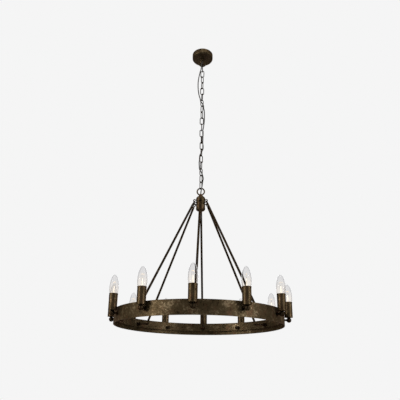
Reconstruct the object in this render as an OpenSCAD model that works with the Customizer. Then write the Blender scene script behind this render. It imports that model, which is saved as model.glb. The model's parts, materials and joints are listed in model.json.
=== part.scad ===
// Wagon wheel chandelier: a flat iron ring with candle lights round it, held by
// six rods from a hub, and hung on a chain from a ceiling rose.
// Millimetres, Z up. The origin is the middle of the ceiling bracket's upper face,
// and the light nearest the viewer stands on the -Y side.

/* [Ring] */
// Outer diameter of the ring
ring_d = 680; // [560:10:900]
// Height of the ring's flat bar
ring_h = 53.4; // [50:0.2:80]
// Thickness of the ring's flat bar
ring_t = 3; // [2:0.5:4]
// Height of the hub's shoulder over the ring's lower edge
ring_drop = 557; // [450:1:700]

/* [Wiring channel] */
// Height of the channel's underside over the ring's lower edge
channel_z = 17; // [12:0.5:18]
// Height of the channel
channel_h = 33; // [30:0.5:33]
// How far the channel stands in from the ring
channel_w = 12; // [11:0.5:16]
// Sheet thickness of the channel
channel_t = 1; // [0.8:0.1:1.5]
// Diameter of the bundle of wires in it
harness_d = 6; // [4:0.5:7]

/* [Light arms] */
// Gap between the ring and the candle tubes
tube_gap = 2.9; // [1:0.1:12]
// Height of the arms over the ring's lower edge
arm_z = 28; // [26:0.5:29]
// Diameter of the hollow arm
arm_d = 8; // [7:0.2:9]
// Bore of the hollow arm
arm_bore = 4.4; // [3.6:0.1:5]
// Diameter of the arm's flange and of its inner nuts
flange_d = 16; // [13:0.5:17]
// Thickness of the arm's flange
flange_t = 2; // [1:0.2:3]
// Diameter of the ball under each candle
ball_d = 20; // [18:0.5:20]
// Wall of the ball
ball_wall = 2.4; // [1.6:0.2:3]

/* [Candle tubes] */
// Outer diameter of the candle tube
tube_d = 32.2; // [31.8:0.2:36]
// Length of the candle tube
tube_len = 61.6; // [58:0.2:62]
// Wall of the candle tube
tube_wall = 0.8; // [0.6:0.1:0.8]
// How far the rim stands proud
rim_out = 0.6; // [0.3:0.1:1]
// Height of the rim
rim_h = 3; // [2:0.5:5]

/* [Lampholder and bulb] */
// Diameter of the lampholder
holder_d = 26.4; // [24:0.2:28]
// Length of the lampholder
holder_len = 49; // [47:0.5:50]
// Diameter of the bulb's metal cap
cap_d = 13.6; // [13:0.1:13.8]
// Length of the bulb's metal cap
cap_len = 20; // [19:0.5:21]
// Widest diameter of the bulb's glass
bulb_d = 35; // [34:0.5:36]
// Height of the bulb's glass
glass_len = 81.2; // [70:0.2:90]
// Thickness of the glass
glass_t = 0.8; // [0.5:0.1:1]

/* [Rods] */
// Outer diameter of a rod
rod_d = 9.4; // [7:0.2:10]
// Bore of a rod
rod_bore = 6; // [5:0.2:6]
// Wire of the rod's eye, its hook and the hub's hooks
hook_wire = 4; // [3.5:0.1:4.2]
// Centreline radius of the rod's eye and of its lower hook
eye_r = 6.5; // [6:0.1:8]
// Centreline radius of the hub's hooks
hub_hook_r = 6; // [5.6:0.1:6.4]
// How far the hub hooks' curls stand from the hub's axis
hook_reach = 29; // [28:0.5:34]
// Depth of the hub hooks' curls below the hub's shoulder
hook_drop = 15.5; // [12:0.5:17]
// Distance of the ring eyes' tips from the ring's outer face
ring_eye_reach = 68.5; // [55:0.5:90]
// Wire of the ring eyes
ring_eye_wire = 5; // [4:0.2:6]
// Width of the ring eyes
ring_eye_w = 20; // [17:0.5:24]

/* [Hub] */
// Diameter of the hub's barrel
hub_d = 40; // [38:1:42]
// Height of the hub's barrel
hub_h = 50; // [44:1:52]
// Wall of the barrel
hub_wall = 2.5; // [2:0.1:3]
// Height of the dome on the barrel
dome_h = 10.5; // [8:0.5:14]
// Diameter of the threaded hollow nipples in the hub and the rose
nipple_d = 10; // [9.6:0.1:10.4]
// Bore of the nipples
nipple_bore = 6.4; // [6:0.1:7]
// Diameter of the finial's ball
finial_d = 12; // [11:0.5:15]

/* [Chain] */
// Outer length of a chain link
link_len = 40.9; // [36:0.1:42]
// Outer width of a chain link
link_w = 19; // [18:0.5:22]
// Wire of a chain link
link_wire = 3.7; // [3.2:0.1:4]
// Wire of the two hanging loops
loop_wire = 6; // [5:0.5:6]
// Centreline radius of the hanging loops
loop_r = 16; // [15:0.5:19]
// Diameter of the loops' collars
collar_d = 18; // [17:0.5:20]
// Height of the loops' collars
collar_h = 9.5; // [7:0.5:12]
// Clearance between pieces that hang on each other
hang_gap = 0.2; // [0.1:0.05:0.4]
// Diameter of the flex
flex_d = 5; // [4:0.2:5.4]

/* [Ceiling rose] */
// Diameter of the rose
rose_d = 100; // [98:1:130]
// Depth of the rose
rose_h = 26; // [26:0.5:34]
// Sheet thickness of the rose
rose_t = 1.2; // [0.8:0.1:1.5]
// Distance between the bracket's two slots
slot_spacing = 72; // [70:1:74]
// Width of the slots
slot_w = 5.2; // [4:0.1:6]
// Length of the slots, end to end
slot_len = 11; // [8:0.5:12]
// Sheet thickness of the bracket
bracket_t = 2; // [1.5:0.5:2.5]
// Depth of the bracket's middle below the ceiling
bracket_drop = 12; // [12:0.5:13]

/* [Hidden] */
$fn = 48;

iron = [0.25, 0.20, 0.15];
dark_iron = [0.16, 0.13, 0.10];
brass = [0.72, 0.58, 0.30];
steel = [0.62, 0.62, 0.62];
cream = [0.90, 0.88, 0.82];
black = [0.07, 0.07, 0.07];
glass = [0.95, 0.93, 0.88, 0.4];

light_count = 12;
rod_count = 6;
link_count = 20;
seat = 0.05;                 // what a screwed-in piece stands clear of its seat
slip = 0.1;                  // radial clearance of a piece in its hole
hole_slip = 0.2;             // radial clearance of the arms in the sheet
block_hole_d = 2.9;          // holes for the terminal block's screws

// heights, worked out down the chain from the ceiling
loop_leg_x = nipple_bore / 2 + loop_wire / 2;
loop_leg_z = sqrt(pow(loop_r, 2) - pow(loop_leg_x, 2));
loop_gap_angle = 2 * asin(loop_leg_x / loop_r);
ceiling_loop_z = -(rose_h + collar_h + loop_leg_z);
link_hang = loop_wire / 2 + link_wire / 2 + hang_gap;
link_half = (link_len - link_wire) / 2;
link_pitch = link_len - 2 * link_wire - hang_gap;
link_side = (link_w - link_wire) / 2;
top_link_z = ceiling_loop_z - loop_r + link_hang - link_half;
bottom_link_z = top_link_z - (link_count - 1) * link_pitch;
hub_loop_z = bottom_link_z - link_half + link_hang - loop_r;
dome_top_z = hub_loop_z - loop_leg_z - collar_h;
shoulder_z = dome_top_z - dome_h;
ring_z = shoulder_z - ring_drop;
hook_z = shoulder_z - hook_drop;
barrel_low_z = shoulder_z - hub_h;

// turn of each link's face from the viewer, lowest link first; neighbours stay 65 to 115 degrees apart
link_turns = [60, 130, 50, 115, 45, 110, 40, 105, 10, 95, 0, 65, 130, 45, 110, 10, 120, 55, 170, 90];

// radii round the ring
ring_r = ring_d / 2;
light_r = ring_r + tube_gap + tube_d / 2 + rim_out / 2;
channel_r = ring_r - ring_t - channel_w;
harness_r = ring_r - ring_t - channel_w / 2;
harness_z = ring_z + channel_z + channel_h - channel_t - harness_d / 2 - 1;
arm_in_r = channel_r - 8;
arm_out_r = light_r - ball_d / 2 + ball_wall - 0.3;
nut_len = 10;
eye_tip_r = ring_r - ring_eye_reach;
eye_z = ring_z + arm_z;

// the rods run straight from the middle of the hub hooks' curls to the ring eyes' tips
rod_run = norm([eye_tip_r - hook_reach, hook_z - eye_z]);
rod_lean = atan((eye_tip_r - hook_reach) / (hook_z - eye_z));
top_eye_s = hub_hook_r - hook_wire - hang_gap + eye_r;
tube_start_s = top_eye_s + eye_r + 5;
low_hook_s = rod_run + ring_eye_wire / 2 + hook_wire / 2 + hang_gap - eye_r;
tube_end_s = low_hook_s - eye_r - 6.5;
rod_spigot = 8;
shoulder_t = 2;
function on_rod(s) = [0, hook_reach + s * sin(rod_lean), hook_z - s * cos(rod_lean)];

// the candle, measured up from the ring's lower edge
tube_base_z = arm_z + ball_d / 2 + 0.4;
tube_floor_t = 1.5;
holder_z = tube_base_z + tube_floor_t;
holder_top_z = holder_z + holder_len;
cap_r_gap = 0.3;
cap_z = holder_top_z - cap_len + 1.4;
contact_gap = 0.4;
contact_h = 1.2;
glass_z = cap_z + cap_len;
neck_r = cap_d / 2 - 0.2;
lead_d = 2.8;

// outline of the bulb's glass: half width as a share of bulb_d / 2, height as a share of glass_len;
// a neck in points chosen by hand, and half an ellipse above the widest place
glass_neck = [[0.52, 0.016], [0.70, 0.045], [0.81, 0.085], [0.865, 0.135], [0.95, 0.20], [0.99, 0.27]];
glass_widest = 0.34;
glass_steps = 12;
glass_shape = concat(glass_neck, [for (i = [0:glass_steps - 1])
    [cos(90 * i / glass_steps), glass_widest + (1 - glass_widest) * sin(90 * i / glass_steps)]]);

// the flex, from the ceiling nipple down through the chain to the hub, in points chosen by hand
flex_route = [
    [0, 0, -10], [0, 0, -22], [0, 0, -34.5], [-1.5, -2, -43.5], [-4.5, -5, -53.5], [-5, -7, -63.5],
    [-5.5, -5.5, -76.5], [-7, -5, -89], [-10.5, -4.5, -102], [-14, -3, -117], [-17.5, -1.5, -135.5],
    [-20, 0, -156.5], [-20.5, 2, -178], [-19.5, 3, -199.5], [-17, 3.5, -219], [-14.5, 0, -235],
    [-9.5, 2.5, -252], [-6.5, 2.5, -267], [0, -0.5, -280], [7, -0.5, -293.5], [8.5, -2.5, -310],
    [11.5, -4, -326], [12.5, -5, -347.5], [12.5, -5, -371], [11.5, -5, -393.5], [9, -5, -412.5],
    [6.5, -4.5, -429.5], [5.5, -4.5, -446], [6.5, -5, -461], [6.5, -2.5, -480], [6, -3, -497],
    [8, -2.5, -514.5], [7, -1.5, -529.5], [0, -0.5, -545.5], [-7, 1, -561.5], [-8, 1.5, -584],
    [-9.5, 3, -594.5], [-8.5, 2.5, -615], [-7, 0.5, -630], [-1.5, -1.5, -641.5], [6.5, 0, -660],
    [10, -1, -677], [8.5, -1, -690], [6, -4, -712.5], [4, -6.5, -728.5], [2, -5.5, -738.5],
    [0.5, -2, -748.5], [0, 0, -757.5], [0, 0, -776.5], [0, 0, -794.5]];

// the cores, from the ends of the flex into the terminal block and into the hub's connector;
// heights in the hub are measured from its shoulder
mid_core = [
    [0, 1.5, -9.7], [0, 1.7, -8.3], [0, 2.4, -7.1], [0, 3.6, -6.3], [0, 5, -6], [0, 9, -6], [0, 16, -6]];
side_core = [
    [1.6, -0.3, -9.7], [1.7, -0.1, -8.3], [2.3, 0.6, -7.1], [3.3, 1.9, -6.3], [4.5, 3.4, -6],
    [8.4, 8.8, -6], [9.6, 10.8, -6], [10, 12.6, -6], [10, 16, -6]];
hub_core = [
    [1.9, 0, -18], [1.9, 0.1, -20.4], [1.9, 1, -22], [1.9, 2.5, -23], [2, 4.5, -23.5], [2.8, 7, -23.7],
    [3.6, 9, -24.2], [3.9, 10.2, -25.6], [4, 10.5, -27.4], [4, 10.5, -33.5]];

// the feed lead, in the plane of rod 4: distance out from the axis, and height over the hub's shoulder
// for its way into the rod, or over the ring's lower edge for its way out of it
feed_out = [
    [10.5, -40], [10.5, -50], [11, -58], [15, -66], [23, -71], [33, -72.8], [42, -73.2], [50, -74.5],
    [57, -79]];
feed_in = [
    [253, 67.5], [258, 61], [263.5, 55.5], [270.5, 50], [280, 45.5], [292, 42.7], [306, 41.5],
    [318, 41.5], [327, 41.5]];
feed_rod_from = 75;
feed_rod_to = 515;
feed_steps = 30;
feed_d = 4;

function in_plane(p, base_z) = [0, p[0], base_z + p[1]];
feed_route = concat(
    [for (p = feed_out) in_plane(p, shoulder_z)],
    [for (i = [0:feed_steps]) on_rod(feed_rod_from + (feed_rod_to - feed_rod_from) * i / feed_steps)],
    [for (p = feed_in) in_plane(p, ring_z)]);

function link_z(k) = bottom_link_z + (k - 1) * link_pitch;

// a tube swept along points that never turn to run along X
function unit(v) = v / norm(v);
function along(p, i) = unit(p[min(i + 1, len(p) - 1)] - p[max(i - 1, 0)]);
function ring_at(p, i, r, n) =
    let (t = along(p, i), u = unit(cross([1, 0, 0], t)), v = cross(t, u))
    [for (j = [0:n - 1]) p[i] + r * (cos(360 * j / n) * u + sin(360 * j / n) * v)];

module cord(p, d, n) {
    last = len(p) - 1;
    points = [for (i = [0:last]) each ring_at(p, i, d / 2, n)];
    sides = [for (i = [0:last - 1], j = [0:n - 1])
        each [[i * n + j, (i + 1) * n + j, (i + 1) * n + (j + 1) % n],
              [i * n + j, (i + 1) * n + (j + 1) % n, i * n + (j + 1) % n]]];
    start = [for (j = [1:n - 2]) [0, j, j + 1]];
    end = [for (j = [1:n - 2]) [last * n, last * n + j + 1, last * n + j]];
    polyhedron(points, concat(sides, start, end));
}

module round_bar(r, d, angle = 360) {
    rotate_extrude(angle = angle) translate([r, 0]) circle(d = d);
}

module each_light() {
    for (i = [0:light_count - 1])
        rotate([0, 0, i * 360 / light_count]) translate([0, 0, ring_z]) children();
}

module each_rod() {
    for (i = [0:rod_count - 1])
        rotate([0, 0, i * 360 / rod_count]) children();
}

// children stand in the rod's own frame, running down -Z from the middle of the hub hook's curl
module on_rod_line(i) {
    rotate([0, 0, i * 360 / rod_count])
        translate([0, -hook_reach, hook_z]) rotate([-rod_lean, 0, 0]) children();
}

// a bar that points out from the axis, between two radii
module radial_bar(from_r, to_r, d) {
    translate([0, -from_r, 0]) rotate([90, 0, 0]) cylinder(d = d, h = to_r - from_r);
}

module hex_nut(width, height, hole) {
    difference() {
        cylinder(d = width / cos(30), h = height, $fn = 6);
        translate([0, 0, -1]) cylinder(d = hole, h = height + 2);
    }
}

// ceiling

module ceiling_bracket() {
    foot_x = slot_spacing / 2 + slot_len / 2 + 4;
    bend_x = slot_spacing / 2 - slot_len / 2 - 4;
    width = 22;
    t = bracket_t;
    low = bracket_drop;
    color(steel) difference() {
        union() {
            translate([0, width / 2, 0]) rotate([90, 0, 0]) linear_extrude(width) polygon([
                [-foot_x, 0], [-bend_x, 0], [-bend_x, -low], [bend_x, -low], [bend_x, 0], [foot_x, 0],
                [foot_x, -t], [bend_x + t, -t], [bend_x + t, -low - t], [-bend_x - t, -low - t],
                [-bend_x - t, -t], [-foot_x, -t]]);
            translate([-block_l / 2, width / 2, -low - t]) cube([block_l, 18, t]);
        }
        translate([0, 0, -low - t - 1]) cylinder(d = nipple_d + 2 * slip, h = t + 2);
        for (side = [-1, 1]) translate([side * slot_spacing / 2, 0, -t - 1]) {
            for (end = [-1, 1]) translate([end * (slot_len - slot_w) / 2, 0, 0])
                cylinder(d = slot_w, h = t + 2);
            translate([-(slot_len - slot_w) / 2, -slot_w / 2, 0]) cube([slot_len - slot_w, slot_w, t + 2]);
        }
        for (side = [-1, 1]) translate([side * pole_x / 2, block_y, -low - t - 1])
            cylinder(d = block_hole_d, h = t + 2);
    }
}

block_y = 20;
block_w = 15;
block_l = 30;
block_h = 10;
pole_x = 10;
core_d = 1.7;
core_top_z = -bracket_drop + 6;

module nipple(length) {
    difference() {
        cylinder(d = nipple_d, h = length);
        translate([0, 0, -1]) cylinder(d = nipple_bore, h = length + 2);
    }
}

nipple_top_z = -bracket_drop + 3.5;
nipple_screwed = 8;

module ceiling_nipple() {
    low = -rose_h - nipple_screwed;
    color(steel) translate([0, 0, low]) nipple(nipple_top_z - low);
}

nut_h = 3;

module ceiling_nuts() {
    under_plate = -bracket_drop - bracket_t;
    color(brass) for (z = [-bracket_drop + seat, under_plate - seat - nut_h, -rose_h + rose_t + seat])
        translate([0, 0, z]) hex_nut(14, nut_h, nipple_d + 2 * slip);
}

module ceiling_rose() {
    edge = 7;
    color(iron) difference() {
        rotate_extrude($fn = 96) difference() {
            rose_outline(rose_d / 2, rose_h, edge);
            translate([0, 1]) rose_outline(rose_d / 2 - rose_t, rose_h - rose_t + 1, edge - rose_t);
        }
        translate([0, 0, -rose_h - 1]) cylinder(d = nipple_d + 2 * slip, h = rose_t + 2);
    }
}

module rose_outline(r, h, edge) {
    translate([0, -h]) square([r - edge, h]);
    translate([0, -h + edge]) square([r, h - edge]);
    intersection() {
        translate([r - edge, -h + edge]) circle(r = edge);
        translate([0, -h]) square([r, h]);
    }
}

// collar up at +Z, loop below it, measured from the loop's centre
module hanging_loop() {
    rotate([90, 0, 0]) rotate([0, 0, 90 + loop_gap_angle / 2])
        round_bar(loop_r, loop_wire, 360 - loop_gap_angle);
    translate([0, 0, loop_leg_z]) difference() {
        union() {
            cylinder(d = collar_d - 1.5, h = collar_h);
            translate([0, 0, 1.5]) cylinder(d = collar_d, h = collar_h - 3);
        }
        translate([0, 0, -1]) cylinder(d = nipple_bore, h = collar_h + 2);
        translate([0, 0, collar_h - nipple_screwed - slip]) cylinder(d = nipple_d + 2 * slip, h = collar_h);
    }
}

module ceiling_loop() {
    color(iron) translate([0, 0, ceiling_loop_z]) hanging_loop();
}

module terminal_block() {
    z = -bracket_drop + seat;
    color(cream) difference() {
        translate([-block_l / 2, block_y - block_w / 2, z]) cube([block_l, block_w, block_h]);
        for (side = [-1, 1]) translate([side * pole_x / 2, block_y, z - 1])
            cylinder(d = block_hole_d, h = block_h + 2);
        for (x = [-pole_x, 0, pole_x]) {
            translate([x, block_y + 20, core_top_z]) rotate([90, 0, 0]) cylinder(d = 3, h = 40);
            translate([x, block_y - 4, core_top_z]) cylinder(d = 3.2, h = block_h);
        }
    }
}

module terminal_screws() {
    z = -bracket_drop - bracket_t;
    color(brass) {
        for (side = [-1, 1]) translate([side * pole_x / 2, block_y, z]) {
            translate([0, 0, -1]) cylinder(d = 2.6, h = block_h + bracket_t + 1);
            translate([0, 0, -2]) cylinder(d = 5, h = 2 - seat);
        }
        for (x = [-pole_x, 0, pole_x])
            translate([x, block_y - 4, core_top_z + core_d / 2 + 0.1]) cylinder(d = 2.8, h = 2.8);
    }
}

module ceiling_cores() {
    color(cream) {
        cord(mid_core, core_d, 8);
        cord(side_core, core_d, 8);
        mirror([1, 0, 0]) cord(side_core, core_d, 8);
    }
}

// chain and flex

module chain_link(k) {
    translate([0, 0, link_z(k)]) rotate([0, 0, link_turns[k - 1]]) {
        for (side = [-1, 1])
            translate([side * link_side, 0, -(link_half - link_side)])
                cylinder(d = link_wire, h = 2 * (link_half - link_side));
        translate([0, 0, link_half - link_side]) rotate([90, 0, 0]) round_bar(link_side, link_wire, 180);
        translate([0, 0, -(link_half - link_side)]) rotate([-90, 0, 0]) round_bar(link_side, link_wire, 180);
    }
}

module chain_run(first, last) {
    color(dark_iron) for (k = [first:last]) chain_link(k);
}

module chain_top_link() { chain_run(20, 20); }
module chain_upper_links() { chain_run(14, 19); }
module chain_middle_links() { chain_run(8, 13); }
module chain_lower_links() { chain_run(2, 7); }
module chain_bottom_link() { chain_run(1, 1); }

module flex() {
    color(black) cord(flex_route, flex_d, 10);
}

// hub

module hub_loop() {
    color(iron) translate([0, 0, hub_loop_z]) rotate([180, 0, 0]) hanging_loop();
}

module hub_dome() {
    r = hub_d / 2;
    top_r = nipple_d / 2 + 3;
    color(iron) translate([0, 0, shoulder_z]) difference() {
        rotate_extrude() polygon(concat(
            [[nipple_d / 2 + slip, 0], [r, 0]],
            [for (a = [10:16:90]) [top_r + (r - top_r) * cos(a), dome_h * sin(a)]],
            [[nipple_d / 2 + slip, dome_h]]));
        translate([0, 0, -1]) cylinder(r = r - 6, h = 4);
    }
}

module hub_barrel() {
    r = hub_d / 2;
    plate = 3;
    color(iron) difference() {
        translate([0, 0, barrel_low_z]) union() {
            cylinder(r = r, h = hub_h);
            for (z = [3, hub_h - 3]) translate([0, 0, z]) round_bar(r, 1.6);
        }
        translate([0, 0, barrel_low_z - 1]) cylinder(r = r - hub_wall, h = hub_h - plate + 1);
        translate([0, 0, shoulder_z - plate - 1]) cylinder(d = nipple_d + 2 * slip, h = plate + 2);
        each_rod() translate([0, 0, hook_z - hub_hook_r]) radial_bar(r - 8, r + 3, hook_wire + slip);
    }
}

finial_z = barrel_low_z - 8 - finial_d / 2;

nipple_window = [19, 34];     // from and to, below the hub's shoulder

module hub_nipple() {
    low = finial_z;
    color(steel) difference() {
        translate([0, 0, low]) nipple(dome_top_z + nipple_screwed - low);
        translate([-3, 0, shoulder_z - nipple_window[1]])
            cube([6, nipple_d, nipple_window[1] - nipple_window[0]]);
    }
}

module hub_nut() {
    color(brass) translate([0, 0, shoulder_z - 3 - seat - nut_h]) hex_nut(14, nut_h, nipple_d + 2 * slip);
}

module hub_bottom_cap() {
    r = hub_d / 2;
    depth = 8;
    low_r = nipple_d / 2 + 1.5;
    color(iron) difference() {
        union() {
            translate([0, 0, barrel_low_z - depth]) rotate_extrude() polygon(concat(
                [[0, 0]],
                [for (a = [0:15:90]) [low_r + (r - low_r) * sin(a), depth * (1 - cos(a))]],
                [[0, depth]]));
            translate([0, 0, barrel_low_z]) cylinder(r = r - hub_wall - slip, h = 4);
        }
        translate([0, 0, barrel_low_z - 4]) cylinder(r = r - hub_wall - 2.5, h = 9);
        translate([0, 0, barrel_low_z - depth - 1]) cylinder(d = nipple_d + 2 * slip, h = 12);
        translate([0, feed_out[1][0], barrel_low_z - depth - 2]) cylinder(d = feed_d + 1.6, h = 12);
    }
}

module hub_finial() {
    top = barrel_low_z - 8 - seat;
    color(iron) difference() {
        union() {
            translate([0, 0, finial_z]) sphere(d = finial_d);
            translate([0, 0, top - 3]) cylinder(d = finial_d - 0.5, h = 3);
        }
        translate([0, 0, finial_z - slip]) cylinder(d = nipple_d + slip, h = finial_d);
    }
}

connector_y = 10.5;
connector_drop = 39.8;
connector_z = shoulder_z - connector_drop;

module hub_connector() {
    color(cream) difference() {
        translate([-7, connector_y - 4.5, connector_z]) cube([14, 9, 12]);
        for (x = [-4, 0, 4]) translate([x, connector_y, connector_z + 5]) cylinder(d = 2.4, h = 8);
    }
}

module hub_cores() {
    color(cream) for (lean = [-1, 0, 1])
        cord([for (p = hub_core) [lean * p[0], p[1], shoulder_z + p[2]]], core_d, 8);
}

module hub_hooks() {
    color(dark_iron) each_rod() translate([0, 0, hook_z]) {
        translate([0, 0, -hub_hook_r]) radial_bar(hub_d / 2 - 5, hook_reach, hook_wire);
        translate([0, 0, -hub_hook_r]) radial_bar(hub_d / 2 - 5, hub_d / 2 - hub_wall - 0.6, hook_wire + 3);
        translate([0, -hook_reach, 0]) rotate([90, 0, -90]) {
            rotate([0, 0, -90]) round_bar(hub_hook_r, hook_wire, 235);
            rotate([0, 0, 145]) translate([hub_hook_r, 0, 0]) sphere(d = hook_wire);
        }
    }
}

// rods

module rod_tube() {
    translate([0, 0, -tube_end_s]) difference() {
        cylinder(d = rod_d, h = tube_end_s - tube_start_s);
        translate([0, 0, -1]) cylinder(d = rod_bore, h = tube_end_s - tube_start_s + 2);
    }
}

module rod(i) {
    color(dark_iron) difference() {
        on_rod_line(i) rod_tube();
        if (i == 3) feed_windows();
    }
}

// windows where the feed lead goes in and out through the wall of its rod: from and to, along the rod
feed_window_w = feed_d + 1.2;
feed_window_in = [56, 76];
feed_window_out = [feed_rod_to + 3, feed_rod_to + 30];

module feed_window(span, side) {
    deep = 6;
    translate([-feed_window_w / 2, side * (deep / 2 + 0.5) - deep / 2, -span[1]])
        cube([feed_window_w, deep, span[1] - span[0]]);
}

module feed_windows() {
    on_rod_line(3) {
        feed_window(feed_window_in, 1);
        feed_window(feed_window_out, -1);
    }
}

module rod_end(spigot_from, spigot_to) {
    translate([0, 0, -spigot_to]) cylinder(d = rod_bore - 2 * slip, h = spigot_to - spigot_from);
}

module rod_eyes() {
    color(dark_iron) for (i = [0:rod_count - 1]) on_rod_line(i) {
        translate([0, 0, -top_eye_s]) rotate([90, 0, 0]) round_bar(eye_r, hook_wire);
        translate([0, 0, -tube_start_s]) cylinder(d = hook_wire, h = tube_start_s - top_eye_s - eye_r);
        translate([0, 0, -tube_start_s]) cylinder(d = rod_d, h = shoulder_t);
        rod_end(tube_start_s, tube_start_s + rod_spigot);
    }
}

module rod_hooks() {
    tip = 200;
    sweep = 250;
    neck_d = hook_wire + 0.6;
    color(dark_iron) for (i = [0:rod_count - 1]) on_rod_line(i) {
        translate([0, 0, -low_hook_s]) rotate([90, 0, 90]) rotate([0, 0, tip])
            round_bar(eye_r, hook_wire, sweep);
        translate([0, 0, -low_hook_s + eye_r - hook_wire / 2 - 0.2])
            cylinder(d = neck_d, h = low_hook_s - eye_r - tube_end_s + hook_wire / 2 + 0.2);
        translate([0, 0, -tube_end_s - shoulder_t]) cylinder(d = rod_d, h = shoulder_t);
        rod_end(tube_end_s - rod_spigot, tube_end_s);
    }
}

module feed_lead() {
    color(black) cord(feed_route, feed_d, 8);
}

// ring

module ring_band() {
    color(iron) difference() {
        translate([0, 0, ring_z]) difference() {
            cylinder(r = ring_r, h = ring_h, $fn = 192);
            translate([0, 0, -1]) cylinder(r = ring_r - ring_t, h = ring_h + 2, $fn = 192);
        }
        each_light() translate([0, 0, arm_z])
            radial_bar(ring_r - ring_t - 3, ring_r + 3, arm_d + 2 * hole_slip);
    }
}

module wiring_channel() {
    r = ring_r - ring_t;
    t = channel_t;
    color(iron) difference() {
        translate([0, 0, ring_z + channel_z]) rotate_extrude($fn = 192) polygon([
            [channel_r, 0], [r, 0], [r, t], [channel_r + t, t], [channel_r + t, channel_h - t],
            [r, channel_h - t], [r, channel_h], [channel_r, channel_h]]);
        each_light() translate([0, 0, arm_z])
            radial_bar(channel_r - 3, channel_r + 3, arm_d + 2 * hole_slip);
        translate([0, 0, ring_z + feed_in[8][1]]) rotate([0, 0, 180])
            radial_bar(channel_r - 3, channel_r + 3, feed_d + 2);
    }
}

module ring_harness() {
    color(black) translate([0, 0, harness_z]) round_bar(harness_r, harness_d);
}

module inner_nut(hole_depth) {
    difference() {
        radial_bar(channel_r - nut_len - seat, channel_r - 2 * seat, flange_d);
        radial_bar(channel_r - hole_depth - seat, channel_r, arm_d + 2 * slip);
    }
}

module ring_eyes() {
    eye_rr = (ring_eye_w - ring_eye_wire) / 2;
    straight = channel_r - nut_len - 6 - eye_rr - (eye_tip_r + eye_rr);
    color(dark_iron) each_rod() translate([0, 0, eye_z]) {
        inner_nut(8.2);
        radial_bar(channel_r - nut_len - 8, channel_r - nut_len - seat, ring_eye_wire + 2);
        translate([0, -eye_tip_r - eye_rr, 0]) round_bar(eye_rr, ring_eye_wire, 180);
        translate([0, -eye_tip_r - eye_rr - straight, 0]) rotate([0, 0, 180])
            round_bar(eye_rr, ring_eye_wire, 180);
        for (side = [-1, 1]) translate([side * eye_rr, 0, 0])
            radial_bar(eye_tip_r + eye_rr, eye_tip_r + eye_rr + straight, ring_eye_wire);
    }
}

module arm_cap_nuts() {
    color(dark_iron) for (i = [0:rod_count - 1]) rotate([0, 0, (i + 0.5) * 360 / rod_count])
        translate([0, 0, eye_z]) {
            inner_nut(8.2);
            translate([0, -(channel_r - nut_len - seat), 0]) intersection() {
                sphere(d = flange_d - 2);
                translate([-flange_d, 0, -flange_d]) cube(2 * flange_d);
            }
        }
}

// lights

module lamp_arms() {
    color(iron) each_light() translate([0, 0, arm_z]) difference() {
        union() {
            radial_bar(arm_in_r, arm_out_r, arm_d);
            radial_bar(ring_r, ring_r + flange_t, flange_d);
        }
        radial_bar(arm_in_r + 3, arm_out_r + 3, arm_bore);
        translate([0, -harness_r, 0]) cylinder(d = arm_bore, h = arm_d);
    }
}

module lamp_balls() {
    color(iron) each_light() translate([0, -light_r, arm_z]) difference() {
        sphere(d = ball_d);
        sphere(d = ball_d - 2 * ball_wall);
        rotate([-90, 0, 0]) cylinder(d = arm_d + 2 * slip, h = ball_d);
        cylinder(d = arm_d + 2 * slip, h = ball_d);
    }
}

module lamp_nipples() {
    low = arm_z + ball_d / 2 - ball_wall - 0.5;
    collar_z = tube_base_z - 1.2;
    high = holder_z + 10;
    color(dark_iron) each_light() translate([0, -light_r, 0]) difference() {
        union() {
            translate([0, 0, low]) cylinder(d = arm_d, h = high - low);
            translate([0, 0, collar_z]) cylinder(d = arm_d + 6, h = tube_base_z - collar_z);
        }
        translate([0, 0, low - 1]) cylinder(d = arm_bore, h = high - low + 2);
    }
}

module lamp_leads() {
    up = holder_z + 16;
    drop = harness_z - ring_z - harness_d / 2 - arm_z - 0.1;
    color(cream) each_light() translate([0, 0, arm_z]) {
        translate([0, -harness_r, 0]) cylinder(d = lead_d, h = drop);
        translate([0, -harness_r, 0]) sphere(d = lead_d);
        radial_bar(harness_r, light_r, lead_d);
        translate([0, -light_r, 0]) sphere(d = lead_d);
        translate([0, -light_r, 0]) cylinder(d = lead_d, h = up - arm_z);
    }
}

module lampholders() {
    bore_r = cap_d / 2 + cap_r_gap;
    floor_z = cap_z - contact_h - contact_gap - 1;
    color(cream) each_light() translate([0, -light_r, 0]) difference() {
        union() {
            translate([0, 0, holder_z]) cylinder(d = holder_d - 4, h = holder_len);
            translate([0, 0, holder_top_z - 28]) cylinder(d = holder_d, h = 25);
            translate([0, 0, holder_z]) cylinder(d = holder_d, h = 3);
        }
        translate([0, 0, holder_z - 1]) cylinder(d = arm_d + 2 * slip, h = 12);
        translate([0, 0, holder_z + 11 - seat]) cylinder(d = 12, h = 8);
        translate([0, 0, floor_z]) cylinder(r = bore_r + 0.8, h = holder_len);
    }
}

module holder_contacts() {
    bore_r = cap_d / 2 + cap_r_gap;
    floor_z = cap_z - contact_h - contact_gap - 1;
    color(brass) each_light() translate([0, -light_r, 0]) {
        translate([0, 0, floor_z]) cylinder(d = 5, h = 1);
        translate([0, 0, cap_z + 1]) difference() {
            cylinder(r = bore_r + 0.8, h = cap_len - 5);
            translate([0, 0, -1]) cylinder(r = bore_r, h = cap_len);
        }
    }
}

module candle_tubes() {
    r = tube_d / 2;
    color(iron) each_light() translate([0, -light_r, tube_base_z]) rotate_extrude() polygon([
        [arm_d / 2 + slip, 0], [r, 0], [r, tube_len - rim_h - rim_out], [r + rim_out, tube_len - rim_h],
        [r + rim_out, tube_len - 0.4], [r + rim_out - 0.4, tube_len], [r - tube_wall, tube_len],
        [r - tube_wall, tube_floor_t - seat], [arm_d / 2 + slip, tube_floor_t - seat]]);
}

// bulbs

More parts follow.
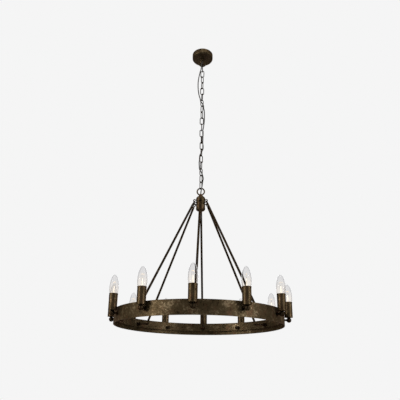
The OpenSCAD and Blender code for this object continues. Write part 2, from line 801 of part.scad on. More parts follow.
function glass_outer(p) = [p[0] * bulb_d / 2, p[1] * glass_len];
function glass_inner(p) = [max(p[0] * bulb_d / 2 - glass_t, 0), p[1] * (glass_len - glass_t)];

module bulb_glass() {
    n = len(glass_shape);
    rotate_extrude() polygon(concat(
        [[neck_r - glass_t, 0], [neck_r, 0]],
        [for (p = glass_shape) glass_outer(p)],
        [[0, glass_len], [0, glass_len - glass_t]],
        [for (i = [n - 2:-1:0]) glass_inner(glass_shape[i])]));
}

module bulb(i) {
    rotate([0, 0, i * 360 / light_count]) translate([0, -light_r, ring_z]) {
        color(brass) translate([0, 0, cap_z]) {
            cylinder(d = cap_d, h = cap_len);
            translate([0, 0, -contact_h]) cylinder(d1 = 5, d2 = 8, h = contact_h);
        }
        color(glass) translate([0, 0, glass_z]) bulb_glass();
        color(cream) translate([0, 0, glass_z]) {
            cylinder(d1 = 8, d2 = 4, h = 16);
            cylinder(d = 2, h = glass_len * 0.62);
        }
    }
}

ceiling_bracket();
ceiling_nipple();
ceiling_nuts();
ceiling_rose();
ceiling_loop();
terminal_block();
terminal_screws();
ceiling_cores();
chain_top_link();
chain_upper_links();
chain_middle_links();
chain_lower_links();
chain_bottom_link();
flex();
hub_loop();
hub_dome();
hub_barrel();
hub_nipple();
hub_nut();
hub_bottom_cap();
hub_finial();
hub_connector();
hub_cores();
hub_hooks();
rod(0);  // rod_1
rod(1);  // rod_2
rod(2);  // rod_3
rod(3);  // rod_4
rod(4);  // rod_5
rod(5);  // rod_6
rod_eyes();
rod_hooks();
feed_lead();
ring_band();
wiring_channel();
ring_harness();
ring_eyes();
arm_cap_nuts();
lamp_arms();
lamp_balls();
lamp_nipples();
lamp_leads();
lampholders();
holder_contacts();
candle_tubes();
bulb(0);  // bulb_1
bulb(1);  // bulb_2
bulb(2);  // bulb_3
bulb(3);  // bulb_4
bulb(4);  // bulb_5
bulb(5);  // bulb_6
bulb(6);  // bulb_7
bulb(7);  // bulb_8
bulb(8);  // bulb_9
bulb(9);  // bulb_10
bulb(10);  // bulb_11
bulb(11);  // bulb_12
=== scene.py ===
import bpy
import bmesh
import json
import math
from mathutils import Matrix, Vector


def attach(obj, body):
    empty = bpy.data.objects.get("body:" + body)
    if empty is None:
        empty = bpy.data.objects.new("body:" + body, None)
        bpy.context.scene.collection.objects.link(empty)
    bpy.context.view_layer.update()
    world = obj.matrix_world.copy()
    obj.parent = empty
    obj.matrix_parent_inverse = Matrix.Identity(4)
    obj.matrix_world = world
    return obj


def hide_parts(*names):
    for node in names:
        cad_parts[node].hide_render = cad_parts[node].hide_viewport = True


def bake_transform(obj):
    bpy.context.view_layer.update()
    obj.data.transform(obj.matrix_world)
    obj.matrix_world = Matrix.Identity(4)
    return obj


# Wagon wheel chandelier. Metres, Z up, the origin on the ceiling above the hub.

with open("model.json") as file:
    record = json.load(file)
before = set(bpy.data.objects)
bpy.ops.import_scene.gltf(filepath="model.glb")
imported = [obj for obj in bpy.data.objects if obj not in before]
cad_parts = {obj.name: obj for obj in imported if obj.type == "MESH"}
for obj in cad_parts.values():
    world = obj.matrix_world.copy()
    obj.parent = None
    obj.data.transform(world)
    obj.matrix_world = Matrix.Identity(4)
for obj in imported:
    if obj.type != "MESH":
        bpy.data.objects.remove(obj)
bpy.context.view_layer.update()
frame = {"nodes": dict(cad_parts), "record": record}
print("frame loaded:", len(frame["nodes"]), "nodes")


def lowestPoint(name):
    obj = frame["nodes"][name]
    return min((obj.matrix_world @ Vector(corner)).z for corner in obj.bound_box)


# the ring's lower edge, from which the camera and the bulbs are measured
ringBase = lowestPoint("ring_band")


# camera: low, a little under the ring, looking up
cameraLook = {
    "lens": 39.602,
    "sensor": 36,
    "distance": 1.7996,
    "underRing": 0.2053,
    "sideStep": -0.0012,
    "turn": 3.525,            # degrees round the chandelier, towards +X
    "pitch": 18.911,
    "roll": 0.792,
    "shiftUp": 0.075,
    "clip": (0.05, 60),
}


def addCamera(look):
    data = bpy.data.cameras.new("photoCamera")
    data.lens = look["lens"]
    data.sensor_width = look["sensor"]
    data.shift_y = look["shiftUp"]
    data.clip_start, data.clip_end = look["clip"]
    cam = bpy.data.objects.new("photoCamera", data)
    bpy.context.scene.collection.objects.link(cam)
    cam.matrix_world = (
        Matrix.Rotation(math.radians(look["turn"]), 4, "Z")
        @ Matrix.Translation((look["sideStep"], -look["distance"], ringBase - look["underRing"]))
        @ Matrix.Rotation(math.radians(90 + look["pitch"]), 4, "X")
        @ Matrix.Rotation(math.radians(look["roll"]), 4, "Z")
    )
    bpy.context.scene.camera = cam


addCamera(cameraLook)
print("camera placed")


# helpers for materials

def startMaterial(name):
    mat = bpy.data.materials.new(name)
    mat.use_nodes = True
    tree = mat.node_tree
    return mat, tree.nodes, tree.links, tree.nodes["Principled BSDF"]


def objectCoords(nodes, links, scale=(1, 1, 1)):
    coords = nodes.new("ShaderNodeTexCoord")
    mapping = nodes.new("ShaderNodeMapping")
    mapping.inputs["Scale"].default_value = scale
    links.new(coords.outputs["Object"], mapping.inputs["Vector"])
    return mapping.outputs["Vector"]


def heightOf(nodes, links, vector):
    split = nodes.new("ShaderNodeSeparateXYZ")
    links.new(vector, split.inputs[0])
    return split.outputs["Z"]


def addNoise(nodes, links, vector, scale, detail, rough, warp=0.0):
    noise = nodes.new("ShaderNodeTexNoise")
    noise.inputs["Scale"].default_value = scale
    noise.inputs["Detail"].default_value = detail
    noise.inputs["Roughness"].default_value = rough
    noise.inputs["Distortion"].default_value = warp
    links.new(vector, noise.inputs["Vector"])
    return noise.outputs["Fac"]


def addRamp(nodes, links, value, places, colours):
    # a colour is a tuple, or one number for a grey
    ramp = nodes.new("ShaderNodeValToRGB")
    elements = ramp.color_ramp.elements
    while len(elements) < len(places):
        elements.new(0.5)
    for element, place, colour in zip(elements, places, colours):
        element.position = place
        element.color = (*colour, 1) if isinstance(colour, tuple) else (colour, colour, colour, 1)
    links.new(value, ramp.inputs["Fac"])
    return ramp.outputs["Color"]


def addMath(nodes, links, kind, a, b):
    node = nodes.new("ShaderNodeMath")
    node.operation = kind
    for socket, value in zip(node.inputs, (a, b)):
        if isinstance(value, (int, float)):
            socket.default_value = value
        else:
            links.new(value, socket)
    return node.outputs["Value"]


def addBlend(nodes, links, share, a, b):
    # the share is a's, the rest is b's
    partA = addMath(nodes, links, "MULTIPLY", a, share)
    partB = addMath(nodes, links, "MULTIPLY", b, 1 - share)
    return addMath(nodes, links, "ADD", partA, partB)


def addMix(nodes, links, factor, a, b, kind="MIX"):
    # of a Mix node's sockets, inputs 6 and 7 and output 2 are the colours
    node = nodes.new("ShaderNodeMix")
    node.data_type = "RGBA"
    node.blend_type = kind
    for socket, value in ((node.inputs["Factor"], factor), (node.inputs[6], a), (node.inputs[7], b)):
        if isinstance(value, (int, float)):
            socket.default_value = value
        elif isinstance(value, tuple):
            socket.default_value = (*value, 1)
        else:
            links.new(value, socket)
    return node.outputs[2]


def addRange(nodes, links, value, low, high):
    node = nodes.new("ShaderNodeMapRange")
    node.inputs["To Min"].default_value = low
    node.inputs["To Max"].default_value = high
    links.new(value, node.inputs["Value"])
    return node.outputs["Result"]


def addBump(nodes, links, bsdf, height, strength, distance):
    bump = nodes.new("ShaderNodeBump")
    bump.inputs["Strength"].default_value = strength
    bump.inputs["Distance"].default_value = distance
    links.new(height, bump.inputs["Height"])
    links.new(bump.outputs["Normal"], bsdf.inputs["Normal"])


# aged iron: a dark base, bronze blotches, rust and a fine grain, and painted shade that darkens the
# undersides

agedIronLook = {
    "dark": (0.007, 0.004, 0.0015),
    "body": (0.054, 0.038, 0.019),
    "light": (0.198, 0.150, 0.090),
    "rust": (0.082, 0.041, 0.022),
    "spread": (0.36, 0.46, 0.53, 0.64),     # where the noise gives dark, body, body and light
    "stretch": (1, 1, 1),
    "blotchScale": 26,
    "blotchNoise": (6, 0.62, 0.35),         # detail, roughness and distortion
    "blotchShare": 0.55,                    # of the colour's noise, the rest is mottle
    "mottleScale": 150,
    "mottleNoise": (5, 0.6, 0.2),
    "grainScale": 900,
    "grainNoise": (3, 0.5),
    "grainSpread": (0.30, 0.70),
    "grainDark": 0.72,
    "rustScale": 1.7,                       # times the blotches' scale
    "rustNoise": (5, 0.65),
    "rustSpread": (0.52, 0.68),
    "rustMost": 0.7,
    "underside": 0.45,                      # painted shade: share of its colour left on a face that looks straight down
    "undersideSpread": (0.15, 0.75),        # from there, over the normal's Z plus one
    "metallic": 0.70,
    "gloss": 0.2,
    "edgeTint": (0.62, 0.44, 0.28),
    "roughLow": 0.30,
    "roughHigh": 0.58,
    "bump": 0.45,
    "bumpDepth": 0.0008,
    "bumpMottle": 0.7,                      # of the bump's height, the rest is grain
}

tubeIronLook = dict(
    agedIronLook, light=(0.165, 0.113, 0.064), metallic=0.80, roughLow=0.30, roughHigh=0.50,
    stretch=(1, 1, 0.25), blotchScale=80, mottleScale=260)
rodIronLook = dict(
    agedIronLook, dark=(0.005, 0.004, 0.002), body=(0.020, 0.014, 0.008), light=(0.065, 0.046, 0.026),
    rust=(0.034, 0.016, 0.007), blotchScale=45, mottleScale=160, metallic=0.90, gloss=0.1)
chainIronLook = dict(rodIronLook, blotchScale=90, mottleScale=300, roughLow=0.32, roughHigh=0.55)


def agedMetal(name, look):
    mat, nodes, links, bsdf = startMaterial(name)
    place = objectCoords(nodes, links, look["stretch"])
    blotch = addNoise(nodes, links, place, look["blotchScale"], *look["blotchNoise"])
    mottle = addNoise(nodes, links, place, look["mottleScale"], *look["mottleNoise"])
    grain = addNoise(nodes, links, place, look["grainScale"], *look["grainNoise"])
    mixed = addBlend(nodes, links, look["blotchShare"], blotch, mottle)
    colour = addRamp(nodes, links, mixed, look["spread"], (
        look["dark"], look["body"], look["body"], look["light"]))
    rust = addNoise(nodes, links, place, look["blotchScale"] * look["rustScale"], *look["rustNoise"])
    rustMask = addRamp(nodes, links, rust, look["rustSpread"], (0, look["rustMost"]))
    colour = addMix(nodes, links, rustMask, colour, look["rust"])
    grainShade = addRamp(nodes, links, grain, look["grainSpread"], (look["grainDark"], 1))
    colour = addMix(nodes, links, 1.0, colour, grainShade, "MULTIPLY")
    # painted shade: faces that look down are darkened by their normal, in place of the shade that falls under
    # them
    normal = nodes.new("ShaderNodeNewGeometry").outputs["Normal"]
    upward = addMath(nodes, links, "ADD", heightOf(nodes, links, normal), 1.0)
    paintedUnderShade = addRamp(nodes, links, upward, look["undersideSpread"], (look["underside"], 1))
    colour = addMix(nodes, links, 1.0, colour, paintedUnderShade, "MULTIPLY")
    links.new(colour, bsdf.inputs["Base Color"])
    links.new(addRange(nodes, links, mottle, look["roughHigh"], look["roughLow"]), bsdf.inputs["Roughness"])
    bsdf.inputs["Metallic"].default_value = look["metallic"]
    bsdf.inputs["Specular IOR Level"].default_value = look["gloss"]
    bsdf.inputs["Specular Tint"].default_value = (*look["edgeTint"], 1)
    relief = addBlend(nodes, links, look["bumpMottle"], mottle, grain)
    addBump(nodes, links, bsdf, relief, look["bump"], look["bumpDepth"])
    return mat


# plain metal and plastic: one colour with a cloudy, duller part

metalLook = {
    "stretch": (1, 1, 1),
    "cloudNoise": (5, 0.6),                 # detail and roughness
    "spread": (0.35, 0.62),
    "dull": 0.55,                           # share of the colour
    "rougher": 0.14,                        # over rough where it is dull
    "smoother": 0.08,                       # under rough elsewhere
    "metallic": 1.0,
    "bump": 0.15,
    "bumpDepth": 0.0003,
}

plasticLook = dict(
    metalLook, cloudNoise=(4, 0.55), spread=(0.3, 0.7), dull=0.82, rougher=0.08, smoother=0.06,
    metallic=0.0, bump=0.12, bumpDepth=0.0002, rough=0.5)

brassLook = dict(metalLook, colour=(0.62, 0.47, 0.22), rough=0.32, scale=260)
steelLook = dict(metalLook, colour=(0.55, 0.56, 0.58), rough=0.35, scale=300, stretch=(1, 1, 0.2))
creamLook = dict(plasticLook, colour=(0.80, 0.76, 0.66), scale=140)
coreLook = dict(plasticLook, colour=(0.55, 0.48, 0.38), rough=0.55, scale=220)
sheathLook = dict(plasticLook, colour=(0.030, 0.027, 0.024), scale=260)


def cloudyFinish(name, look):
    mat, nodes, links, bsdf = startMaterial(name)
    place = objectCoords(nodes, links, look["stretch"])
    cloud = addNoise(nodes, links, place, look["scale"], *look["cloudNoise"])
    dull = tuple(c * look["dull"] for c in look["colour"])
    links.new(addRamp(nodes, links, cloud, look["spread"], (dull, look["colour"])), bsdf.inputs["Base Color"])
    roughest, smoothest = look["rough"] + look["rougher"], look["rough"] - look["smoother"]
    links.new(addRange(nodes, links, cloud, roughest, smoothest), bsdf.inputs["Roughness"])
    bsdf.inputs["Metallic"].default_value = look["metallic"]
    addBump(nodes, links, bsdf, cloud, look["bump"], look["bumpDepth"])
    return mat


finishes = {
    "aged_iron": agedMetal("agedIron", agedIronLook),
    "tube_iron": agedMetal("tubeIron", tubeIronLook),
    "rod_iron": agedMetal("rodIron", rodIronLook),
    "dark_iron": agedMetal("chainIron", chainIronLook),
    "brass": cloudyFinish("fittingBrass", brassLook),
    "steel": cloudyFinish("zincSteel", steelLook),
    "cream_plastic": cloudyFinish("creamPlastic", creamLook),
    "core_insulation": cloudyFinish("coreInsulation", coreLook),
    "black_sheath": cloudyFinish("flexSheath", sheathLook),
}


# dress the CAD nodes by their slot, apart from these; the bulbs are made anew further down

otherFinish = {"candle_tubes": "tube_iron"}
for node in ["rod_%d" % n for n in range(1, 7)] + [
        "rod_eyes", "rod_hooks", "hub_hooks", "ring_eyes", "arm_cap_nuts",
        "lamp_balls", "lamp_nipples", "lamp_arms"]:
    otherFinish[node] = "rod_iron"


def dressNodes():
    slots = {part["node"]: part["material_slot"] for part in frame["record"]["subparts"]}
    for node, obj in frame["nodes"].items():
        finish = otherFinish.get(node, slots[node])
        if finish in finishes:
            obj.data.materials.clear()
            obj.data.materials.append(finishes[finish])


dressNodes()
print("nodes dressed")


# mesh helpers

def makeObject(name, mesh, smooth=True):
    if smooth:
        for face in mesh.polygons:
            face.use_smooth = True
    obj = bpy.data.objects.new(name, mesh)
    bpy.context.scene.collection.objects.link(obj)
    return obj


def turnedMesh(name, outline, steps):
    # an outline of (radius, height) turned round Z, closed where it meets the axis
    verts, faces = [], []
    rows = []
    for radius, height in outline:
        if radius == 0:
            verts.append((0, 0, height))
            rows.append([len(verts) - 1] * steps)
            continue
        row = []
        for n in range(steps):
            angle = 2 * math.pi * n / steps
            verts.append((radius * math.cos(angle), radius * math.sin(angle), height))
            row.append(len(verts) - 1)
        rows.append(row)
    for low, high in zip(rows, rows[1:]):
        for n in range(steps):
            m = (n + 1) % steps
            corners = [low[n], low[m], high[m], high[n]]
            face = [c for i, c in enumerate(corners) if c not in corners[:i]]
            if len(face) > 2:
                faces.append(face)
    mesh = bpy.data.meshes.new(name)
    mesh.from_pydata(verts, [], faces)
    mesh.validate()
    return mesh


def sweptMesh(name, points, radius, sides):
    # a tube with closed ends along points, its rings carried along without twist
    points = [Vector(p) for p in points]
    last = len(points) - 1
    verts, faces = [], []
    side = None
    for n, point in enumerate(points):
        along = (points[min(n + 1, last)] - points[max(n - 1, 0)]).normalized()
        if side is None:
            side = along.orthogonal().normalized()
        side = (side - along * side.dot(along)).normalized()
        other = along.cross(side)
        for k in range(sides):
            angle = 2 * math.pi * k / sides
            verts.append(point + radius * (math.cos(angle) * side + math.sin(angle) * other))
    for n in range(last):
        here, ahead = n * sides, (n + 1) * sides
        for k in range(sides):
            m = (k + 1) % sides
            faces.append((here + k, here + m, ahead + m, ahead + k))
    faces.append(tuple(range(sides))[::-1])
    faces.append(tuple(last * sides + k for k in range(sides)))
    mesh = bpy.data.meshes.new(name)
    mesh.from_pydata(verts, [], faces)
    return mesh


def smoothRoute(points, steps):
    # a Catmull-Rom curve through the points
    points = [Vector(p) for p in points]
    out = []
    for n in range(len(points) - 1):
        before = points[max(n - 1, 0)]
        a, b = points[n], points[n + 1]
        after = points[min(n + 2, len(points) - 1)]
        for k in range(steps):
            t = k / steps
            out.append(0.5 * (2 * a + (b - before) * t + (2 * before - 5 * a + 4 * b - after) * t * t
                              + (3 * a - before - 3 * b + after) * t ** 3))
    out.append(points[-1])
    return out


# flex, in pieces along the chain, one for each of its joints

flexLook = {
    "radius": 0.0025,
    "sides": 16,
    "steps": 5,
    # the route's points, millimetres from the ceiling
    "route": [
        (0, 0, -10), (0, 0, -22), (0, 0, -34.5), (-1.5, -2, -43.5), (-4.5, -5, -53.5), (-5, -7, -63.5),
        (-5.5, -5.5, -76.5), (-7, -5, -89), (-10.5, -4.5, -102), (-14, -3, -117), (-17.5, -1.5, -135.5),
        (-20, 0, -156.5), (-20.5, 2, -178), (-19.5, 3, -199.5), (-17, 3.5, -219), (-14.5, 0, -235),
        (-9.5, 2.5, -252), (-6.5, 2.5, -267), (0, -0.5, -280), (7, -0.5, -293.5), (8.5, -2.5, -310),
        (11.5, -4, -326), (12.5, -5, -347.5), (12.5, -5, -371), (11.5, -5, -393.5), (9, -5, -412.5),
        (6.5, -4.5, -429.5), (5.5, -4.5, -446), (6.5, -5, -461), (6.5, -2.5, -480), (6, -3, -497),
        (8, -2.5, -514.5), (7, -1.5, -529.5), (0, -0.5, -545.5), (-7, 1, -561.5), (-8, 1.5, -584),
        (-9.5, 3, -594.5), (-8.5, 2.5, -615), (-7, 0.5, -630), (-1.5, -1.5, -641.5), (6.5, 0, -660),
        (10, -1, -677), (8.5, -1, -690), (6, -4, -712.5), (4, -6.5, -728.5), (2, -5.5, -738.5),
        (0.5, -2, -748.5), (0, 0, -757.5), (0, 0, -776.5), (0, 0, -794.5)],
    # per piece: upper body, lower body, its first and last point on the route, and the bend's two heights
    "pieces": [
        ("ceiling", "chain_top", 0, 6, -0.053, -0.075),
        ("chain_top", "chain_upper", 6, 11, -0.090, -0.109),
        ("chain_upper", "chain_middle", 11, 23, -0.278, -0.318),
        ("chain_middle", "chain_lower", 23, 35, -0.478, -0.518),
        ("chain_lower", "chain_bottom", 35, 43, -0.684, -0.711),
        ("chain_bottom", "fixture", 43, 49, -0.717, -0.745),
    ],
}


def makeFlex(look):
    route = smoothRoute([[c / 1000 for c in p] for p in look["route"]], look["steps"])
    for upper, lower, first, last, bendTop, bendLow in look["pieces"]:
        part = route[first * look["steps"]:last * look["steps"] + 1]
        name = "flex_%s" % lower
        piece = makeObject(name, sweptMesh(name, part, look["radius"], look["sides"]))
        piece.data.materials.append(finishes["black_sheath"])
        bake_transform(piece)
        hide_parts("flex")


makeFlex(flexLook)
print("flex made")


# glass, filament and metals of the bulbs; low and high are the glass's colours up the piece,
# the rim's painted shade multiplies them where the wall turns away, in place of the light that the glass's
# edge reflects and bends

bulbGlassLook = {
    "length": 0.0812,
    "low": (0.965, 0.940, 0.910),
    "high": (0.890, 0.886, 0.887),
    "tintSpread": (0.30, 0.75),             # shares of the length
    # painted shade on the glass's rim, where the wall turns away
    "rim": (0.66, 0.66, 0.68),
    "rimStart": 0.3,                        # share of the painted rim shade at the middle stop
    "rimSpread": (0.20, 0.36, 0.60),
    "rimBlend": 0.35,
    "ior": 1.08,
    "gloss": 0.5,
    "glow": 0.0,
    "filmScale": 60,
    "filmNoise": (3, 0.5),
    "filmRough": 0.05,
}

# the stem's glass has a painted glow and a painted rim shade: it glows though it is no lamp
stemGlassLook = dict(
    bulbGlassLook, length=0.036, low=(1.0, 0.93, 0.80), high=(1.0, 0.95, 0.86), rim=(0.95, 0.88, 0.78),
    ior=1.30, gloss=0.3, glow=0.30)

filamentLook = {
    "colour": (1.0, 0.72, 0.38),
    "cooler": 0.75,                         # share of the colour
    "spread": (0.35, 0.65),
    "scale": 500,
    "heatNoise": (2, 0.5),
    "base": (0.9, 0.75, 0.5),
    "glow": 0.9,
}

bulbCapLook = dict(metalLook, colour=(0.70, 0.66, 0.56), rough=0.28, scale=400)
bulbContactLook = dict(metalLook, colour=(0.60, 0.60, 0.60), rough=0.35, scale=500)
bulbWireLook = dict(metalLook, colour=(0.50, 0.48, 0.44), rough=0.35, scale=900)


def clearGlass(name, look):
    mat, nodes, links, bsdf = startMaterial(name)
    bsdf.inputs["Transmission Weight"].default_value = 1.0
    bsdf.inputs["IOR"].default_value = look["ior"]
    bsdf.inputs["Specular IOR Level"].default_value = look["gloss"]
    # painted light: a glow on the glass, which is no lamp; only the stem's glass has one
    bsdf.inputs["Emission Color"].default_value = (*look["low"], 1)
    bsdf.inputs["Emission Strength"].default_value = look["glow"]
    place = objectCoords(nodes, links)
    height = addMath(nodes, links, "DIVIDE", heightOf(nodes, links, place), look["length"])
    tint = addRamp(nodes, links, height, look["tintSpread"], (look["low"], look["high"]))
    # painted shade: the glass darkens towards its rim, where the wall turns away from view
    facing = nodes.new("ShaderNodeLayerWeight")
    facing.inputs["Blend"].default_value = look["rimBlend"]
    paintedRimHalfway = tuple(1 - look["rimStart"] + look["rimStart"] * c for c in look["rim"])
    paintedRimShade = addRamp(nodes, links, facing.outputs["Facing"], look["rimSpread"], (1, paintedRimHalfway, look["rim"]))
    links.new(addMix(nodes, links, 1.0, tint, paintedRimShade, "MULTIPLY"), bsdf.inputs["Base Color"])
    film = addNoise(nodes, links, place, look["filmScale"], *look["filmNoise"])
    links.new(addRange(nodes, links, film, 0.0, look["filmRough"]), bsdf.inputs["Roughness"])
    return mat


def glowingWire(name, look):
    mat, nodes, links, bsdf = startMaterial(name)
    heat = addNoise(nodes, links, objectCoords(nodes, links), look["scale"], *look["heatNoise"])
    cooler = tuple(c * look["cooler"] for c in look["colour"])
    glow = addRamp(nodes, links, heat, look["spread"], (cooler, look["colour"]))
    links.new(glow, bsdf.inputs["Emission Color"])
    bsdf.inputs["Emission Strength"].default_value = look["glow"]
    bsdf.inputs["Base Color"].default_value = (*look["base"], 1)
    return mat


# bulbs; outlines are (radius, height), heights over the glass's or the cap's lower end

bulbLook = {
    "count": 12,
    "lightRadius": 0.3593,
    "capLow": 0.0703,                       # over the ring's lower edge
    "glassLow": 0.0903,                     # over the ring's lower edge
    "glassLength": bulbGlassLook["length"],
    "glassWide": 0.0175,
    "glassWall": 0.0007,
    # radius and height as shares of the glass's: the neck up to the widest place, above it half an ellipse
    "neck": [
        (0.36, 0.0), (0.52, 0.016), (0.70, 0.045), (0.81, 0.085), (0.865, 0.135), (0.95, 0.20), (0.99, 0.27)],
    "widest": 0.34,
    "neckSteps": 4,
    "domeSteps": 24,
    "glassSides": 40,
    # the cap's base, its rolled thread and the skirt that holds the glass; radii are shares of capRadius
    "capRadius": 0.0067,
    "capBase": [(0.0, 0.0008), (0.62, 0.0008), (0.86, 0.0022)],
    "threadRoot": 0.90,
    "threadDepth": 0.085,
    "threadLow": 0.0026,
    "threadLength": 0.0118,
    "threadTurns": 5,
    "threadSteps": 8,
    "capSkirt": [(0.97, 0.0150), (0.985, 0.0153), (0.985, 0.0200), (0.90, 0.0202)],
    "capSides": 36,
    "contact": [
        (0.0, -0.0011), (0.0018, -0.0010), (0.0024, -0.0006), (0.0026, 0.0), (0.0040, 0.0006),
        (0.0046, 0.0014)],
    "contactSides": 28,
    "stemTop": stemGlassLook["length"],
    "stem": [
        (0.0052, 0.0004), (0.0046, 0.004), (0.0034, 0.009), (0.0022, 0.015), (0.0017, 0.021),
        (0.0018, 0.026), (0.0015, 0.030)],
    "stemHead": [(0.0013, 0.0), (0.0019, 0.001), (0.0014, 0.0022), (0.0, 0.0026)],     # over the stem's top
    "stemSides": 24,
    "leadWire": [(0.0012, 0.012), (0.0020, 0.022), (0.0036, 0.030)],       # and on to the filament's end
    "leadStraight": 0.008,
    "leadSteps": 4,
    "leadRadius": 0.00028,
    "leadSides": 8,
    "supportFoot": 0.001,                   # over the stem's top
    "supportWire": [(0.0022, -0.003), (0.0030, 0.001)],     # heights over the filament's ends
    "supportTurns": (45, 135),              # degrees
    "supportSteps": 3,
    "supportRadius": 0.00018,
    "supportSides": 6,
    "filamentTop": 0.050,
    "filamentSpread": 0.0060,
    "filamentArch": 0.0035,
    "filamentHumps": 0.0012,
    "humpCount": 3,
    "coilTurns": 22,
    "coilRadius": 0.00042,
    "coilSteps": 240,
    "coilWire": 0.00016,
    "coilSides": 6,
    # degrees that the stem is turned in the first bulb, and more in each next one
    "firstTwist": 20,
    "twistStep": 37,
}


def glassOutline(look):
    widest, steps = look["widest"], look["domeSteps"]
    neck = smoothRoute([(r, z, 0) for r, z in look["neck"] + [(1.0, widest)]], look["neckSteps"])
    outer = [(p.x, p.y) for p in neck][:-1]
    for n in range(steps):
        angle = math.pi / 2 * n / steps
        outer.append((math.cos(angle), widest + (1 - widest) * math.sin(angle)))
    outer.append((0.0, 1.0))
    outer = [(r * look["glassWide"], z * look["glassLength"]) for r, z in outer]
    shorter = 1 - look["glassWall"] / look["glassLength"]
    inner = [(max(r - look["glassWall"], 0), z * shorter) for r, z in outer]
    return outer + inner[::-1]


def capOutline(look):
    outline = list(look["capBase"])
    count = look["threadTurns"] * look["threadSteps"]
    for n in range(count + 1):
        wave = 0.5 - 0.5 * math.cos(2 * math.pi * n / look["threadSteps"])
        outline.append((look["threadRoot"] + look["threadDepth"] * wave,
                        look["threadLow"] + look["threadLength"] * n / count))
    return [(r * look["capRadius"], z) for r, z in outline + look["capSkirt"]]


def wiresMesh(look):
    wires = bmesh.new()
    spread, high = look["filamentSpread"], look["filamentTop"]
    lead = look["leadWire"] + [(spread, high - look["leadStraight"]), (spread, high)]
    support = [(0.0, look["stemTop"] + look["supportFoot"])] + [(r, high + z) for r, z in look["supportWire"]]
    for side in (-1, 1):
        path = smoothRoute([(side * r, 0, z) for r, z in lead], look["leadSteps"])
        wires.from_mesh(sweptMesh("leadWire", path, look["leadRadius"], look["leadSides"]))
    for turn in look["supportTurns"]:
        across, along = math.cos(math.radians(turn)), math.sin(math.radians(turn))
        path = smoothRoute([(r * across, r * along, z) for r, z in support], look["supportSteps"])
        wires.from_mesh(sweptMesh("supportWire", path, look["supportRadius"], look["supportSides"]))
    mesh = bpy.data.meshes.new("bulbWires")
    wires.to_mesh(mesh)
    return mesh


def filamentMesh(look):
    coil = []
    spread = look["filamentSpread"]
    for n in range(look["coilSteps"] + 1):
        t = n / look["coilSteps"]
        arch = look["filamentArch"] * math.sin(math.pi * t)
        hump = look["filamentHumps"] * math.sin(look["humpCount"] * math.pi * t) ** 2
        middle = Vector((-spread + 2 * spread * t, 0, look["filamentTop"] + arch + hump))
        spin = t * 2 * math.pi * look["coilTurns"]
        coil.append(middle + Vector((0, math.cos(spin), math.sin(spin))) * look["coilRadius"])
    return sweptMesh("bulbFilament", coil, look["coilWire"], look["coilSides"])


def bulbMeshes(look):
    stem = look["stem"] + [(r, look["stemTop"] + z) for r, z in look["stemHead"]]
    return {
        "glass": turnedMesh("bulbGlass", glassOutline(look), look["glassSides"]),
        "cap": turnedMesh("bulbCap", capOutline(look), look["capSides"]),
        "contact": turnedMesh("bulbContact", look["contact"], look["contactSides"]),
        "stem": turnedMesh("bulbStem", stem, look["stemSides"]),
        "wires": wiresMesh(look),
        "filament": filamentMesh(look),
    }


def makeBulbs(look):
    meshes = bulbMeshes(look)
    paints = {
        "glass": clearGlass("bulbClearGlass", bulbGlassLook),
        "stem": clearGlass("bulbStemGlass", stemGlassLook),
        "cap": cloudyFinish("bulbCapMetal", bulbCapLook),
        "contact": cloudyFinish("bulbContactMetal", bulbContactLook),
        "wires": cloudyFinish("bulbWireMetal", bulbWireLook),
        "filament": glowingWire("bulbFilamentGlow", filamentLook),
    }
    for kind, mesh in meshes.items():
        mesh.materials.append(paints[kind])
    for n in range(look["count"]):
        spin = Matrix.Rotation(math.radians(360 * n / look["count"]), 4, "Z")
        twist = Matrix.Rotation(math.radians(look["firstTwist"] + look["twistStep"] * n), 4, "Z")
        for kind, mesh in meshes.items():
            piece = makeObject("bulb_%d_%s" % (n + 1, kind), mesh)
            height = look["capLow"] if kind in ("cap", "contact") else look["glassLow"]
            stand = spin @ Vector((0, -look["lightRadius"], ringBase + height))
            # glass, cap and contact are round and stay unturned, so that their boxes are the CAD's
            turned = kind in ("stem", "wires", "filament")
            piece.matrix_world = Matrix.Translation(stand) @ (spin @ twist if turned else Matrix())
            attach(piece, "bulb_%d" % (n + 1))
            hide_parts("bulb_%d" % (n + 1))


makeBulbs(bulbLook)
print("bulbs made")


# floor, background and lights

studioLook = {
    "floorHeight": -2.35,
    "floorSize": 14,
    "floorInner": 1.5,
    "floorSides": 64,
    "floorRough": 0.9,
    "floorCloud": (3, 3, 0.5),              # scale, detail and roughness
    "floorSpread": (0.3, 0.7),
    "floorDull": 0.97,
    "background": (0.913, 0.913, 0.913),    # the pale grey of the photo's ground
    "ambientColour": (1, 1, 1),
    "ambient": 0.30,
    # what the camera sees added to the floor, near and far, so that it meets the background
    "floorNear": 0.0,
    "floorFar": 0.66,
    "nearAndFar": (0.07, 0.34),             # shares of the floor's size
    "lamps": [
        # place, aim, width, height, watts, colour
        ((-2.2, -1.55, -0.5), (0, 0, -1.2), 0.7, 2.4, 58, (1.0, 0.975, 0.93)),
        ((2.3, -1.35, -0.5), (0, 0, -1.2), 0.6, 2.4, 49, (0.98, 0.985, 1.0)),
        ((0.3, -1.2, 1.6), (0, 0, -1.2), 1.8, 1.8, 34, (1.0, 1.0, 1.0)),
        ((0.2, 2.6, -0.1), (0, 0, -1.0), 1.8, 1.8, 30, (1.0, 0.99, 0.98)),
    ],
}


def seenByCamera(nodes, links):
    # straight, or through the bulbs' glass
    rays = nodes.new("ShaderNodeLightPath").outputs
    return addMath(nodes, links, "MAXIMUM", rays["Is Camera Ray"], rays["Is Transmission Ray"])


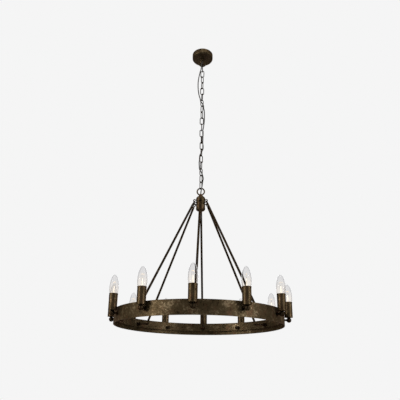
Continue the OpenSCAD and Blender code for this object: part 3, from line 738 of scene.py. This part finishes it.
def makeFloor(look):
    floor = turnedMesh(
        "floor", [(0.0, 0.0), (look["floorInner"], 0.0), (look["floorSize"], 0.0)], look["floorSides"])
    obj = makeObject("floor", floor, smooth=False)
    obj.location = (0, 0, look["floorHeight"])
    mat, nodes, links, bsdf = startMaterial("floorPaper")
    place = objectCoords(nodes, links)
    pale = look["background"]
    dull = tuple(c * look["floorDull"] for c in pale)
    cloud = addNoise(nodes, links, place, *look["floorCloud"])
    links.new(addRamp(nodes, links, cloud, look["floorSpread"], (dull, pale)), bsdf.inputs["Base Color"])
    bsdf.inputs["Roughness"].default_value = look["floorRough"]
    away = nodes.new("ShaderNodeVectorMath")
    away.operation = "LENGTH"
    links.new(place, away.inputs[0])
    share = addMath(nodes, links, "DIVIDE", away.outputs["Value"], look["floorSize"])
    fade = addRamp(nodes, links, share, look["nearAndFar"], (look["floorNear"], look["floorFar"]))
    links.new(fade, bsdf.inputs["Emission Color"])
    links.new(seenByCamera(nodes, links), bsdf.inputs["Emission Strength"])
    floor.materials.append(mat)


def makeBackground(look):
    world = bpy.data.worlds.new("studio")
    bpy.context.scene.world = world
    world.use_nodes = True
    nodes, links = world.node_tree.nodes, world.node_tree.links
    nodes.clear()
    out = nodes.new("ShaderNodeOutputWorld")
    seen = nodes.new("ShaderNodeBackground")
    seen.inputs["Color"].default_value = (*look["background"], 1)
    lit = nodes.new("ShaderNodeBackground")
    lit.inputs["Color"].default_value = (*look["ambientColour"], 1)
    lit.inputs["Strength"].default_value = look["ambient"]
    mixer = nodes.new("ShaderNodeMixShader")
    links.new(seenByCamera(nodes, links), mixer.inputs["Fac"])
    links.new(lit.outputs[0], mixer.inputs[1])
    links.new(seen.outputs[0], mixer.inputs[2])
    links.new(mixer.outputs[0], out.inputs["Surface"])


def addLamps(look):
    for n, (place, aim, width, height, watts, colour) in enumerate(look["lamps"]):
        data = bpy.data.lights.new("softbox_%d" % (n + 1), "AREA")
        data.shape = "RECTANGLE"
        data.size = width
        data.size_y = height
        data.energy = watts
        data.color = colour
        lamp = bpy.data.objects.new(data.name, data)
        bpy.context.scene.collection.objects.link(lamp)
        lamp.location = place
        lamp.visible_camera = False
        lamp.visible_transmission = False
        lamp.rotation_mode = "QUATERNION"
        lamp.rotation_quaternion = (Vector(aim) - Vector(place)).to_track_quat("-Z", "Y")


makeFloor(studioLook)
makeBackground(studioLook)
addLamps(studioLook)
bpy.context.scene.view_settings.view_transform = "Standard"
print("studio ready")
